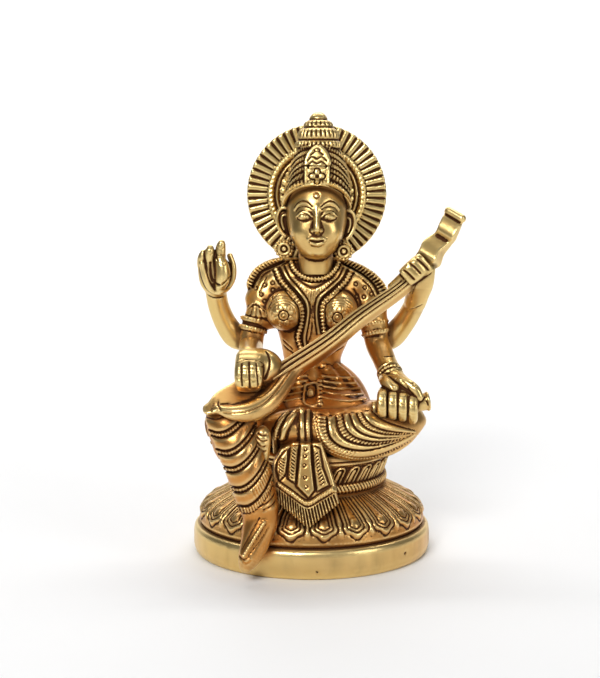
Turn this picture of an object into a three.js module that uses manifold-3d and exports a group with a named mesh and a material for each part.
// A cast brass figure of a seated four-armed goddess who plays a veena, on a lotus seat and a domed
// lotus plinth, with a rayed halo behind her crown. Everything is one casting.
// Millimetres, +Z up, front towards -Y, origin at the middle of the plinth's underside.
import * as THREE from "three";
import { mergeVertices } from "three/addons/utils/BufferGeometryUtils.js";
import Module from "manifold-3d";

const wasm = await Module();
wasm.setup();

// Plinth: a drum with a fluted dome of petals on it
const PLINTH_WIDTH = 104;
const PLINTH_DEPTH = 94;
const PLINTH_HEIGHT = 12.4;
const PLINTH_EDGE = 0.9;
const DOME_INSET = 1.6;
const DOME_HEIGHT = 18.6;
const PETALS = 20;
const PETAL_RELIEF = 1.1;
const PETAL_TURN = 7;

// Lotus seat: a rope ring, a row of arches and a plain band
const SEAT_FOOT_RADIUS = 28.5;
const SEAT_TOP_RADIUS = 31.3;
const SEAT_HEIGHT = 15;
const SEAT_RING = 4;
const SEAT_BAND = 3.6;
const SEAT_ARCHES = 30;
const ARCH_RELIEF = 0.8;
const SEAT_SHIFT = 3.5;

// Figure: its height from the seat to the tip of the crown sets the scale of the whole body
const FIGURE_HEIGHT = 144;
const DRAWN_HEIGHT = 144;
const DRAWN_SEAT_TOP = 46;

// Cloth: valley and crest of a carved fold against the leg, depth of the fringe's pleats, and belt bands
const FOLD_VALLEY = -0.6;
const FOLD_CREST = 0.4;
const PLEAT_RELIEF = 1.2;
const BELT_RELIEF = 0.9;

// Halo: a disc with a raised ring and a border of rays
const HALO_RADIUS = 30.5;
const HALO_THICKNESS = 3.2;
const HALO_RAYS = 52;
const RAY_RELIEF = 1.1;
const RAY_INNER_RADIUS = 21.8;
const HALO_RING_RELIEF = 0.6;
const HALO_MIDDLE = [2.4, 16.5, 156];

// Number of sides of the large round forms, and of rows of faces up the dome
const ROUND_SIDES = 28;
const DOME_ROWS = 4;

const TURN = Math.PI * 2;
const SCALE = FIGURE_HEIGHT / DRAWN_HEIGHT;
const DOME_TOP = PLINTH_HEIGHT + DOME_HEIGHT;
const SEAT_TOP = DOME_TOP + SEAT_HEIGHT;
const mix = (a, b, share) => a + (b - a) * share;
const smooth = (low, high, value) => {
  const share = THREE.MathUtils.clamp((value - low) / (high - low), 0, 1);
  return share * share * (3 - 2 * share);
};
const fraction = (value) => value - Math.floor(value);

// A point of the body, given as drawn for a figure 144 mm tall whose seat is 46 mm above the ground.
const at = (x, y, z) => {
  const fromSeat = new THREE.Vector3(x, y, z - DRAWN_SEAT_TOP);
  return fromSeat.multiplyScalar(SCALE).add(new THREE.Vector3(0, 0, SEAT_TOP));
};

// A closed three.js geometry as a solid that can be joined and cut.
function solid(geometry) {
  const bare = geometry.index ? geometry.toNonIndexed() : geometry.clone();
  bare.deleteAttribute("normal");
  bare.deleteAttribute("uv");
  const merged = mergeVertices(bare, 1e-4);
  const corners = merged.index.array;
  const faces = [];
  for (let i = 0; i < corners.length; i += 3) {
    const [a, b, c] = corners.slice(i, i + 3);
    if (a !== b && b !== c && c !== a) faces.push([a, b, c]);
  }
  const build = (ordered) => new wasm.Manifold(new wasm.Mesh({
    numProp: 3,
    vertProperties: merged.attributes.position.array,
    triVerts: new Uint32Array(ordered.flat()),
  }));
  const made = build(faces);
  return made.volume() > 0 ? made : build(faces.map(([a, b, c]) => [a, c, b]));
}

const join = (solids) => solids.reduce((whole, piece) => whole.add(piece));

// A solid back as a three.js geometry.
function geometryOf(body) {
  const mesh = body.getMesh();
  const geometry = new THREE.BufferGeometry();
  geometry.setAttribute("position", new THREE.BufferAttribute(new Float32Array(mesh.vertProperties), 3));
  geometry.setIndex(new THREE.BufferAttribute(new Uint32Array(mesh.triVerts), 1));
  return geometry;
}

// A closed body from its corners and the corner numbers of its triangles
function solidFrom(points, index) {
  const geometry = new THREE.BufferGeometry().setFromPoints(points);
  geometry.setIndex(index);
  return solid(geometry);
}

// A closed skin through rings of points, with a fan from each end ring to a tip or to the ring's own middle
function skin(rings, tips) {
  const sides = rings[0].length;
  const middle = (ring) => ring.reduce((sum, p) => sum.add(p), new THREE.Vector3()).divideScalar(sides);
  const points = [...rings.flat(), ...(tips ?? [middle(rings[0]), middle(rings.at(-1))])];
  const first = rings.length * sides;
  const index = [];
  for (let side = 0; side < sides; side++) {
    const next = (side + 1) % sides;
    for (let ring = 0; ring + 1 < rings.length; ring++) {
      const [a, b] = [ring * sides + side, ring * sides + next];
      index.push(a, b, b + sides, a, b + sides, a + sides);
    }
    const last = (rings.length - 1) * sides;
    index.push(first, next, side, first + 1, last + side, last + next);
  }
  return solidFrom(points, index);
}

// A closed body under a grid of surface points, whose border is drawn in to one point inside the figure
function draped(rows, heart) {
  const width = rows[0].length;
  const corner = (row, spot) => row * width + spot;
  const index = [];
  for (let row = 0; row + 1 < rows.length; row++) {
    for (let spot = 0; spot + 1 < width; spot++) {
      const [a, b] = [corner(row, spot), corner(row + 1, spot)];
      index.push(a, a + 1, b + 1, a, b + 1, b);
    }
  }
  const [bottom, right] = [rows.length - 1, width - 1];
  const border = [
    ...rows[0].map((_, spot) => corner(0, spot)).slice(0, -1),
    ...rows.map((_, row) => corner(row, right)).slice(0, -1),
    ...rows[0].map((_, spot) => corner(bottom, right - spot)).slice(0, -1),
    ...rows.map((_, row) => corner(bottom - row, 0)).slice(0, -1),
  ];
  border.forEach((a, i) => index.push(border[(i + 1) % border.length], a, rows.length * width));
  return solidFrom([...rows.flat(), heart], index);
}

// count + 1 things, made from their share of the way and their number
const steps = (count, make) => Array.from({ length: count + 1 }, (_, step) => make(step / count, step));
const curve = (points) => {
  return new THREE.CatmullRomCurve3(points.map((point) => at(...point)), false, "centripetal");
};

// Outlines of a cut through a limb, in half sizes
const roundSection = (sides) => Array.from({ length: sides }, (_, side) => {
  const turn = (side / sides) * TURN;
  return [Math.cos(turn), Math.sin(turn)];
});
const SQUARE_SECTION = [[1, -1], [1, 1], [-1, 1], [-1, -1]];

// A limb along a smooth path. A station is [x, y, z, half width, half depth] as drawn; the width lies along
// the direction called across. relief(ring) adds to the half sizes. slant moves one side of each ring
// ahead, as a share of the length. round closes the ends with a dome. section is the outline in half sizes.
function limb(stations, options = {}) {
  const { sides = 8, rings = 5, across = [1, 0, 0], relief = () => 0, round = true, slant = 0 } = options;
  const section = options.section ?? roundSection(sides);
  const path = curve(stations);
  const halves = stations.map(([, , , wide, deep = wide]) => new THREE.Vector3(wide, deep, 0));
  const size = new THREE.CatmullRomCurve3(halves, false, "catmullrom", 0.5);
  const tip = (share, push) => {
    const { x, y } = size.getPoint(share);
    return path.getPoint(share).addScaledVector(path.getTangent(share), push * Math.min(x, y) * SCALE);
  };
  const ringAt = (share, ring, push = 0, shrink = 1) => section.map(([u, v]) => {
    const spot = THREE.MathUtils.clamp(share + slant * u, 0, 1);
    const ahead = path.getTangent(spot);
    const wide = new THREE.Vector3(...across);
    wide.addScaledVector(ahead, -wide.dot(ahead)).normalize();
    const deep = new THREE.Vector3().crossVectors(ahead, wide);
    const { x, y } = size.getPoint(spot);
    const more = relief(ring);
    return tip(spot, push)
      .addScaledVector(wide, (x + more) * shrink * u * SCALE)
      .addScaledVector(deep, (y + more) * shrink * v * SCALE);
  });
  const body = steps(rings, (share, ring) => ringAt(share, ring));
  if (!round) return skin(body);
  const ends = [ringAt(0, 0, -0.62, 0.72), ringAt(1, rings, 0.62, 0.72)];
  return skin([ends[0], ...body, ends[1]], [tip(0, -0.95), tip(1, 0.95)]);
}

// An ellipsoid: middle, half sizes and turns about X, Y and Z in degrees, all as drawn.
function ball(middle, halves, { turns = [0, 0, 0], sides = 10, rows = 7 } = {}) {
  const place = new THREE.Object3D();
  place.position.copy(at(...middle));
  place.scale.set(...halves.map((half) => half * SCALE));
  place.rotation.set(...turns.map(THREE.MathUtils.degToRad));
  place.updateMatrix();
  return solid(new THREE.SphereGeometry(1, sides, rows).applyMatrix4(place.matrix));
}

// A lathe body about the Z axis. relief(column, radius, height) moves its surface outwards, and column 0
// is at the front.
function turned(profile, columns, relief = () => 0) {
  const geometry = new THREE.LatheGeometry(profile.map(([r, z]) => new THREE.Vector2(r, z)), columns);
  geometry.rotateX(Math.PI / 2);
  const spot = geometry.attributes.position;
  for (let i = 0; i < spot.count; i++) {
    const [x, y, z] = [spot.getX(i), spot.getY(i), spot.getZ(i)];
    const radius = Math.hypot(x, y);
    if (radius < 1e-6) continue;
    const column = Math.round(fraction(Math.atan2(x, -y) / TURN) * columns) % columns;
    const grown = 1 + relief(column, radius, z) / radius;
    spot.setXY(i, x * grown, y * grown);
  }
  return geometry;
}

function plinth() {
  const half = PLINTH_WIDTH / 2;
  const drum = turned([
    [0, 0],
    [half, 0],
    [half, PLINTH_HEIGHT - PLINTH_EDGE],
    [half - PLINTH_EDGE, PLINTH_HEIGHT],
    [0, PLINTH_HEIGHT],
  ], ROUND_SIDES);
  const [inner, outer] = [SEAT_FOOT_RADIUS, half - DOME_INSET];
  const quarter = steps(DOME_ROWS, (share) => {
    const turn = share * TURN / 4;
    return [mix(inner, outer, Math.cos(turn)), PLINTH_HEIGHT + DOME_HEIGHT * Math.sin(turn) ** 1.15];
  });
  const groove = (column, radius, height) => {
    const onPetal = column % 2 || radius < inner + 1 || height < PLINTH_HEIGHT + 0.1;
    return onPetal ? 0 : -PETAL_RELIEF;
  };
  const foot = PLINTH_HEIGHT - 1;
  const dome = turned([[0, foot], [outer, foot], ...quarter, [0, DOME_TOP]], PETALS * 2, groove);
  dome.rotateZ(THREE.MathUtils.degToRad(PETAL_TURN) - TURN / PETALS / 2);
  return join([drum, dome].map((geometry) => solid(geometry.scale(1, PLINTH_DEPTH / PLINTH_WIDTH, 1))));
}

function seat() {
  const sunk = DOME_TOP - 1;
  const ringTop = DOME_TOP + SEAT_RING;
  const bandFoot = SEAT_TOP - SEAT_BAND;
  const rope = SEAT_FOOT_RADIUS + 1.4;
  const ring = turned([
    [0, sunk], [rope, sunk], [rope, ringTop], [0, ringTop],
  ], ROUND_SIDES);
  const arch = (column) => (column % 2 ? ARCH_RELIEF : 0);
  const arches = turned([
    [0, ringTop - 1], [SEAT_FOOT_RADIUS, ringTop - 1], [SEAT_TOP_RADIUS - 1.4, bandFoot], [0, bandFoot],
  ], SEAT_ARCHES * 2, arch);
  const band = turned([
    [0, bandFoot - 0.4], [SEAT_TOP_RADIUS, bandFoot - 0.4], [SEAT_TOP_RADIUS, SEAT_TOP], [0, SEAT_TOP],
  ], ROUND_SIDES);
  return join([ring, arches, band].map((geometry) => solid(geometry.translate(SEAT_SHIFT, 0, 0))));
}

function halo() {
  const back = HALO_THICKNESS / 2;
  const valley = back - RAY_RELIEF;
  const disc = turned([
    [0, -back], [HALO_RADIUS, -back], [HALO_RADIUS, valley], [RAY_INNER_RADIUS, valley],
    [RAY_INNER_RADIUS - 0.8, back + HALO_RING_RELIEF], [0, valley],
  ], HALO_RAYS * 2);
  const spot = disc.attributes.position;
  for (let i = 0; i < spot.count; i++) {
    const [x, y] = [spot.getX(i), spot.getY(i)];
    const column = Math.round(fraction(Math.atan2(x, -y) / TURN) * HALO_RAYS * 2);
    const onRay = column % 2 && Math.hypot(x, y) > RAY_INNER_RADIUS - 0.1;
    if (onRay && spot.getZ(i) > 0) spot.setZ(i, back);
  }
  const { x, y, z } = at(...HALO_MIDDLE);
  return solid(disc.rotateX(Math.PI / 2).scale(SCALE, SCALE, SCALE).translate(x, y, z));
}

function torso() {
  const trunk = limb([
    [1, 7, 72, 15.4, 11],
    [1, 7.5, 80, 12.8, 9.6],
    [1.2, 7.6, 87, 13.2, 9.6],
    [1.8, 7.2, 95, 17, 11.4],
    [2.2, 7, 104, 20.4, 12],
    [2.6, 7, 111, 22, 11.4],
    [2.4, 7, 117, 17, 9.4],
    [2, 6, 122, 8.5, 7.6],
  ], { sides: 10, rings: 6, round: false });
  const shoulders = limb([
    [-22, 8, 110, 6.6, 6.4], [-13, 8, 115.4, 6.4, 6.2], [2, 7, 118, 6.6, 6.4], [18, 8, 114.4, 6.4, 6.2],
    [27, 8, 108, 6.6, 6.4],
  ], { sides: 6, rings: 3, across: [0, 1, 0] });
  const breast = (x) => ball([x, -3.2, 105.6], [8, 8.2, 8.2], { sides: 9, rows: 5, turns: [90, 0, 0] });
  const neck = limb([[2, 5.5, 115, 8.4], [1.7, 3.5, 123, 7.6], [1.8, 2, 133, 8]], {
    sides: 9, rings: 1, round: false,
  });
  return join([trunk, shoulders, breast(-10.8), breast(11.8), neck]);
}

const BAND_SECTION = [[0.8, -1], [1, 0.4], [-1, 0.4], [-0.8, -1]];

// Necklace, bib and the two beaded borders of the shawl over the chest
function borders() {
  const tube = (stations, rings) => limb(stations, { sides: 4, rings, round: false });
  const necklace = tube([
    [-9.4, 4, 127, 1.4], [-8, -1.4, 123, 1.4], [-4.4, -5.6, 119.6, 1.4], [0.8, -6.8, 118.2, 1.4],
    [6.4, -5.6, 119.8, 1.4], [10.4, -1.4, 123.4, 1.4], [12, 4, 127, 1.4],
  ], 6);
  const bib = limb([[0.8, -2, 120, 9, 3.4], [0.6, -4.2, 114, 6.4, 2.4], [0.5, -5.4, 108.6, 1.4, 1.2]], {
    sides: 6, rings: 2, round: false,
  });
  const left = limb([
    [-14.4, 3, 123.4, 2.6, 1.6], [-12, -3, 118, 2.6, 1.6], [-6.6, -8, 112.4, 2.5, 1.6],
    [-3, -10, 108, 2.4, 1.6], [-2.8, -9, 101, 2.4, 1.6], [-3.2, -6, 92, 1.8, 1.6],
  ], { sides: 4, rings: 5, round: false, section: BAND_SECTION });
  const right = limb([
    [16, 3, 124, 2.6, 1.6], [13.6, -3, 119, 2.6, 1.6], [9, -8, 113, 2.5, 1.6],
    [4.2, -10, 108.4, 2.4, 1.6], [3, -9, 101, 2.4, 1.6], [3.4, -6, 95, 1.8, 1.6],
  ], { sides: 4, rings: 5, round: false, section: BAND_SECTION });
  return join([necklace, bib, left, right]);
}

// A plate with an outline in x and z, its front at y, leaning forwards by lean for each millimetre it falls
function plate(outline, { front, depth, lean = 0 }) {
  const shape = new THREE.Shape(outline.map(([x, z]) => new THREE.Vector2(x, z)));
  const geometry = new THREE.ExtrudeGeometry(shape, { depth, bevelEnabled: false });
  geometry.rotateX(Math.PI / 2);
  const spot = geometry.attributes.position;
  for (let i = 0; i < spot.count; i++) {
    const [x, y, z] = [spot.getX(i), spot.getY(i), spot.getZ(i)];
    const moved = at(x, front + depth + y - (outline[0][1] - z) * lean, z);
    spot.setXYZ(i, moved.x, moved.y, moved.z);
  }
  return solid(geometry);
}

// The shawl that stands up behind the shoulders and falls down the back
function cape() {
  return plate([
    [2, 128], [-12, 128], [-18, 126.6], [-24, 122.4], [-28, 117.4], [-25, 112], [-18, 98], [2, 92],
    [22, 96], [30, 109], [33, 114], [29, 119.6], [23, 124.4], [16, 127.6],
  ], { front: 9.5, depth: 4 });
}

function headForm() {
  const skull = new THREE.SphereGeometry(1, 12, 9);
  skull.rotateX(Math.PI / 2);
  const spot = skull.attributes.position;
  for (let i = 0; i < spot.count; i++) {
    const [x, y, z] = [spot.getX(i), spot.getY(i), spot.getZ(i)];
    const low = smooth(0.1, -1, z);
    const moved = at(2.2 + x * 12.6 * (1 - 0.22 * low), 1 + y * 13.2 - 4.4 * low, 144.6 + z * 15.6);
    spot.setXYZ(i, moved.x, moved.y, moved.z);
  }
  return solid(skull);
}

function head() {
  const middle = 2.2;
  const small = { sides: 6, rows: 3 };
  const nose = limb([
    [middle, -10.6, 148, 1.3], [middle, -12.6, 142, 1.6], [middle, -13.8, 139, 2.4, 1.6],
  ], { sides: 4, rings: 1, round: false });
  const pieces = [headForm(), nose, ball([middle, -10.8, 133.8], [3.6, 2.4, 1.6], small)];
  for (const side of [-1, 1]) {
    const ear = side < 0 ? -13.4 : 16.8;
    const [x, y, z] = side < 0 ? [-11.2, -1.6, 132.4] : [14.4, -1.6, 131.6];
    pieces.push(
      ball([middle + side * 5, -10.8, 144.6], [3, 1.7, 1.6], { ...small, turns: [0, side * 6, side * 18] }),
      limb([
        [ear - side * 3, 1.6, 150, 3, 2], [ear - side * 0.6, 1.2, 145, 3, 2.4],
        [ear - side * 1, 0.6, 139, 2.6, 2.4], [ear - side * 2, 0, 134, 2.4, 2.4],
      ], { sides: 6, rings: 3, round: false }),
      ball([x, y, z], [3.8, 3, 3.8], { sides: 8, rows: 4, turns: [90, 0, 0] }),
    );
  }
  return join(pieces);
}

// Stacked tiers of the crown: dome, bead band, smooth ring, two smaller bead bands and a knob
function crown() {
  const tiers = turned([
    [0, 151], [14.6, 151], [15.6, 156], [14.8, 163], [11.4, 172.4], [12, 173.6], [11.6, 176],
    [10.4, 176.8], [10.4, 179], [8.6, 180], [8.2, 183], [5.8, 184], [5.2, 187], [0, 190],
  ], 12);
  const spot = tiers.attributes.position;
  for (let i = 0; i < spot.count; i++) {
    const [x, y, z] = [spot.getX(i), spot.getY(i), spot.getZ(i)];
    const lift = smooth(-0.2, -1, y / 15) * smooth(163, 151, z) * 6.5;
    const moved = at(x + mix(2.4, 3.4, smooth(155, 185, z)), y * 0.94 + 2.2, z + lift);
    spot.setXYZ(i, moved.x, moved.y, moved.z);
  }
  const plaque = limb([
    [2.4, -10, 158, 5.2, 3.4], [2.4, -9.6, 162, 5.2, 3.4], [2.4, -8.8, 166, 5.2, 3.2],
    [2.4, -8.2, 167, 5.6, 3.2], [2.6, -6.6, 171.4, 4.6, 3], [2.8, -4.8, 175.4, 1.4, 2.4],
  ], { sides: 5, rings: 4, round: false });
  const rim = limb([
    [-12.6, 0, 150.6, 1.3], [-11, -5.4, 154, 1.3], [-5.4, -10.6, 157.4, 1.3], [2.2, -12.4, 158.8, 1.3],
    [9.8, -10.6, 157.2, 1.3], [15.6, -5.4, 153, 1.3], [17.4, 0, 149.4, 1.3],
  ], { sides: 4, rings: 6, round: false });
  return join([solid(tiers), plaque, rim]);
}

// Arms: front right, front left, rear right and rear left, with sleeves, armbands and a bracelet
const arm = (stations, rings = 3) => limb(stations, { sides: 6, rings, round: false });
const elbow = (stations) => limb(stations, { sides: 6, rings: 2 });

function arms() {
  return join([
    arm([[-18, 8, 110, 7.6, 7], [-23, 7, 104, 6.6, 6.2], [-25.4, 6.4, 98.6, 5.8, 5.6]], 2),
    arm([[-25.6, 6.3, 100, 6.3], [-26.1, 6.1, 97, 6.3]], 1),
    elbow([[-25.4, 6.4, 99, 4.9], [-26.8, 5.4, 93, 4.7], [-27.4, 5, 88.6, 4.7]]),
    arm([[-27.2, 5.4, 88.8, 4.7], [-26.6, -8, 88.8, 4.6], [-26, -28, 89, 3.9]], 1),
    arm([[23, 8, 108, 7.8, 7.2], [26.4, 8, 102, 6.8, 6.6], [28, 7.6, 96, 6.2, 6.2]], 2),
    arm([[27.8, 7.8, 98, 6.7], [28.2, 7.6, 95.4, 6.7]], 1),
    arm([
      [27.6, 8, 98, 5.6], [29, 6, 90, 5.4], [31.6, 0, 84, 5], [34.2, -8, 77, 4.4], [35, -13, 73.6, 4.2],
    ]),
    arm([[33.6, -6.6, 78.4, 5], [34.6, -9.6, 75.8, 5]], 1),
    arm([
      [-22, 8, 97, 4.4], [-33, 11, 91.5, 5], [-38.5, 9.5, 99, 4.6], [-42, 7.5, 107, 3.9], [-43, 6, 115, 3.7],
    ], 4),
    arm([
      [22, 10, 96, 4.6], [34.5, 13, 89.5, 5.2], [39.8, 9, 98, 4.7], [43.8, 3, 107, 4], [46.4, -1, 114, 3.8],
    ], 4),
  ]);
}

const FINGER_SECTION = [[0.9, 0.9], [-0.9, 0.9], [-0.9, -0.8], [0.9, -0.8]];
const finger = (stations) => {
  return limb(stations, { section: FINGER_SECTION, rings: stations.length - 1, round: false });
};

function playingHand() {
  const knuckles = [-30, -27, -24, -21.2];
  return join([
    ball([-25.4, -33, 89.4], [5.9, 8, 6.8], { sides: 8, rows: 5 }),
    ...knuckles.map((x) => finger([
      [x, -35.6, 88, 1.7], [x, -40.4, 83.4, 1.7], [x + 0.3, -40.4, 78.4, 1.5],
    ])),
    finger([[-21, -30, 90, 2.3], [-17.2, -32.6, 88.4, 2.2], [-14.6, -33.6, 84.6, 1.8]]),
  ]);
}

function beadHand() {
  return join([
    ball([-42.6, 5, 119.4], [6.2, 4, 7.6], { sides: 8, rows: 5 }),
    finger([[-47, 3, 122, 1.9], [-48, 1, 130.6, 1.8]]),
    finger([[-44, 3, 124, 1.9], [-44.2, 1, 130, 1.8]]),
    finger([[-40.4, 3, 124, 2], [-39.8, 1, 134, 1.9]]),
    finger([[-40.4, 0.6, 116.5, 2.6], [-39.6, -1.4, 122, 2.9], [-39.6, -1.2, 128.6, 2.2]]),
    limb([
      [-47, -0.6, 126, 1.3], [-46, -1.2, 119, 1.3], [-42.6, -1, 114.8, 1.3], [-38, -0.6, 115.6, 1.3],
      [-36.4, 1, 121, 1.3], [-37.6, 1.6, 128, 1.3],
    ], { sides: 4, rings: 6, round: false }),
  ]);
}

function stringHand() {
  return join([
    ball([47.4, -1.6, 116.4], [4.4, 5, 7], { turns: [0, 24, 0], sides: 7, rows: 5 }),
    ...[0, 1, 2, 3].map((place) => finger([
      [43.2 + place * 2.9, -4.6, 116.4 + place * 2.7, 1.8],
      [40.2 + place * 2.9, -10.4, 119 + place * 2.7, 1.8],
      [37 + place * 2.8, -8.6, 122 + place * 2.5, 1.7],
    ])),
  ]);
}

function bookHand() {
  return join([
    ball([35.8, -15.5, 73.4], [5.8, 6.4, 4.6], { turns: [25, 0, 12], sides: 7, rows: 5 }),
    ...[[29.8, 0], [33.8, -0.3], [37.6, -0.9], [41.8, -1.6]].map(([x, drop]) => finger([
      [x + 1.2, -19.5, 73.4 + drop, 1.9],
      [x, -24, 71.4 + drop, 1.9],
      [x, -24.4, 62.6 + drop, 1.9],
    ])),
    finger([[32.4, -17, 76, 1.9], [37, -20.4, 76.4, 1.9], [42.4, -22, 73, 1.7]]),
    limb([[26.6, -20.6, 66, 3.2], [38, -20.2, 67.4, 3.6], [49.4, -19.4, 69.2, 3.6]], {
      sides: 7, rings: 1, across: [0, 0, 1], round: false,
    }),
  ]);
}

function veena() {
  const boardWay = [-0.518, 0.645, 0.534];
  const bowlSection = [
    [1, 0.2], [0.84, 0.06], [-0.84, 0.06], [-1, 0.2], [-1, -0.5], [-0.5, -1.3], [0.5, -1.3], [1, -0.5],
  ];
  const bowl = limb([
    [-42.6, -45, 69.8, 0.9, 1],
    [-38.3, -44, 71.1, 3, 4],
    [-33, -42, 72.4, 5, 7],
    [-26, -39, 74.9, 6.6, 8.4],
    [-19.4, -36, 78.7, 6.4, 7.4],
    [-13.7, -32.5, 83, 5, 5.2],
    [-8, -29, 86.6, 4.2, 3.6],
  ], { rings: 7, across: boardWay, round: false, section: bowlSection });
  const neckSection = [[0.9, 0.5], [-0.9, 0.5], [-1, 0], [-0.6, -0.8], [0.6, -0.8], [1, 0]];
  const neck = limb([
    [-11, -30.4, 84.6, 4.6], [6, -22.5, 94.2, 4.3], [20.4, -15, 103.8, 3.8], [37.7, -9, 115.1, 2.9],
    [46.5, -5.2, 123.4, 2.6],
  ], { rings: 4, across: boardWay, round: false, section: neckSection });
  const scroll = limb([
    [46.2, -5.4, 122.6, 3.4, 2.4],
    [49.6, -5.6, 128, 4, 3],
    [51.6, -4.8, 131.2, 3.6, 2.6],
    [54.2, -1.6, 135.4, 3.6, 2.8],
    [57.2, -2.8, 139.6, 4.4, 3.2],
    [59.4, -3, 143.4, 4.4, 3.2],
    [61, -0.4, 147.4, 4.4, 2.6],
  ], { rings: 8, across: [-0.855, 0, 0.52], round: false, section: SQUARE_SECTION });
  return join([bowl, neck, scroll]);
}

// Carved folds of the skirt: each has a ring in its valley and one on its crest
const FOLD_RINGS = 2;
const foldHeight = (ring) => (ring % FOLD_RINGS === 0 ? FOLD_VALLEY : FOLD_CREST);

function hips() {
  const lap = limb([[0, 3, 44, 24, 19], [0.6, 3, 52, 26, 22], [1, 5, 60, 25, 20], [1, 7, 67, 21, 15.4]], {
    sides: 11, rings: 2, round: false,
  });
  const beltBand = (ring) => (ring % 2 ? BELT_RELIEF : 0);
  const belt = limb([
    [0.6, 6, 61, 24, 19.4], [0.8, 6.6, 66, 21.8, 16.2], [0.9, 6.8, 71, 18.6, 13.6],
    [1, 7, 75.6, 15.4, 11.4],
  ], { sides: 12, rings: 5, relief: beltBand, round: false });
  const buckle = plate([[-3, 74.6], [3.2, 74.6], [3.2, 66], [-3, 66]], { front: -9, depth: 6, lean: 0.4 });
  return join([lap, belt, buckle]);
}

// The right leg hangs over the front of the seat: knee, folded cloth round the shin, and a foot with a toe.
function rightLeg() {
  const folds = 7;
  const thigh = limb([[-10, -2, 57, 11, 10.5], [-22, -16, 60, 10.5, 10], [-32.4, -30, 62.4, 9.2, 9]], {
    sides: 7, rings: 1, across: [0, 0, 1],
  });
  const shin = limb([
    [-32.8, -36, 65, 8.8, 8.2], [-32, -38, 59, 9, 8.6], [-29.2, -40, 52.8, 9.6, 8.6],
    [-26, -41, 44.8, 9.4, 8.4], [-23.6, -42, 36.7, 8.6, 7.8], [-21, -43, 30, 8, 7],
  ], { sides: 10, rings: folds * FOLD_RINGS, relief: foldHeight, slant: -0.055, round: false });
  const knee = ball([-33, -33.4, 63.6], [8.7, 9, 7], { sides: 8, rows: 5 });
  const foot = limb([
    [-21.4, -42, 33, 7.4, 6.8], [-20.6, -44, 25.2, 7.4, 6.4], [-22.6, -47.4, 17, 6, 5],
    [-25, -50.4, 11, 4.6, 3.6], [-26.4, -52, 6.6, 2.4, 2.2],
  ], { sides: 7, rings: 4, round: false });
  const strip = limb([[-14.6, -47, 29, 1.5], [-20, -51.4, 20.4, 1.5], [-27.6, -53, 9, 1.3]], {
    sides: 4, rings: 2, round: false,
  });
  return join([thigh, shin, knee, foot, strip]);
}

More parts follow.
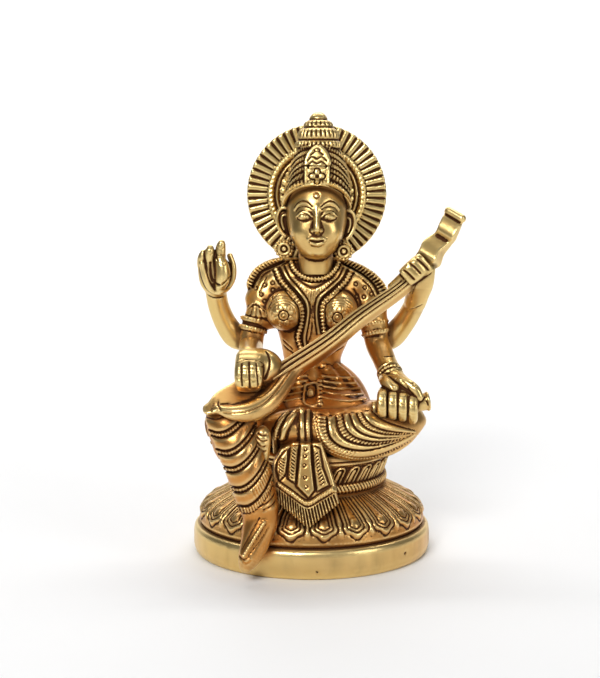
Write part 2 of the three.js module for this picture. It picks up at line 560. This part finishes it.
// The left leg lies across the lap, its cloth swept in nested folds from the lap to the knee.
function leftLeg() {
  const leg = limb([
    [-20, -29, 58, 4, 5], [-9, -25, 58.8, 8.6, 8.4], [3, -19, 58.4, 13, 9.2], [14, -14, 58, 16, 9.8],
    [25, -10.4, 58, 15, 9.8], [35, -9, 58.6, 12, 8.8], [42, -9.6, 59.6, 8, 6.4], [46, -11, 60, 4, 3],
  ], { sides: 8, rings: 7, across: [0, 1, 0], round: false });
  const hem = curve([
    [0.6, -27, 69.4], [2, -33, 62], [6.4, -33.6, 53.4], [14, -31.6, 48.2], [23, -28, 46.8],
    [32.6, -23, 47.8], [41, -17.6, 52], [47.4, -12, 59],
  ]);
  const top = curve([
    [29, -16, 69.4], [33.4, -17, 67.6], [37.8, -16.4, 65.6], [42.6, -14.6, 62.8], [47.4, -12, 59],
  ]);
  const folds = 6;
  const rows = steps(folds * FOLD_RINGS, (share, row) => steps(7, (along) => {
    const swell = 5.2 * Math.sin(share * Math.PI) * Math.sin(along * Math.PI) ** 0.6;
    const rise = swell + 1.2 * foldHeight(row) * Math.sin(Math.min(along + 0.2, 1) * Math.PI);
    const out = new THREE.Vector3(0.25, -0.72, 0.4).multiplyScalar(rise * SCALE);
    return hem.getPoint(along).lerp(top.getPoint(along), share).add(out);
  }));
  const sweep = draped(rows, at(24, -12, 58));
  const fallOf = (x, lean) => limb([
    [x + lean, -24, 68.6, 1.7], [x + lean * 0.4, -33, 64.6, 1.7], [x, -35.4, 58, 1.7],
    [x, -34.4, 51.4, 1.5],
  ], { sides: 4, rings: 3, round: false });
  const foot = ball([-19.2, -41.4, 56.2], [4, 5, 7.4], { turns: [0, 10, 0], sides: 7, rows: 5 });
  return join([leg, sweep, fallOf(-12, 3), fallOf(-7.6, 2), fallOf(-3, 1), foot]);
}

// The pleated cloth that hangs between the legs: a pointed panel, a middle strip, a band and a fringe.
function cloth() {
  const lean = 0.25;
  const panel = plate([
    [-8.4, 56], [-12.6, 41], [-12.6, 35], [-1.6, 25], [10, 34], [8, 38], [4, 56],
  ], { front: -36, depth: 9, lean });
  const strip = plate([
    [-3.4, 56], [-6, 37.4], [-1.4, 32.6], [1.4, 37.4], [0.8, 56],
  ], { front: -37.9, depth: 4, lean });
  const band = limb([[-13, -40, 40.4, 1.5], [-2, -43.4, 31.6, 1.5], [8.4, -41.2, 37.6, 1.5]], {
    sides: 4, rings: 2, round: false,
  });
  const pleats = 14;
  const upper = curve([
    [-12.8, -40, 40], [-7.4, -42.4, 35.8], [-2, -43.2, 31.4], [3.2, -42.4, 34.2], [8.6, -41.4, 37.2],
  ]);
  const lower = curve([
    [-12.8, -41.6, 34], [-7.2, -44, 28], [-1.6, -45.6, 22.4], [4.4, -44.2, 27.4], [10.4, -42.6, 32.8],
  ]);
  const fringe = [upper, lower].map((edge) => steps(pleats, (along, column) => {
    return edge.getPoint(along).add(new THREE.Vector3(0, column % 2 ? -PLEAT_RELIEF : 0, 0));
  }));
  return join([panel, strip, band, draped(fringe, at(-2, -34, 34))]);
}

const body = join([
  plinth(), seat(), halo(), torso(), borders(), cape(), head(), crown(), arms(), playingHand(), beadHand(),
  stringHand(), bookHand(), veena(), hips(), rightLeg(), leftLeg(), cloth(),
]);
const group = new THREE.Group();
const brass = new THREE.MeshStandardMaterial({ color: 0xc9973f, metalness: 1, roughness: 0.38 });
const figure = new THREE.Mesh(geometryOf(body), brass);
figure.name = "saraswati_figure";
group.add(figure);

export default group;
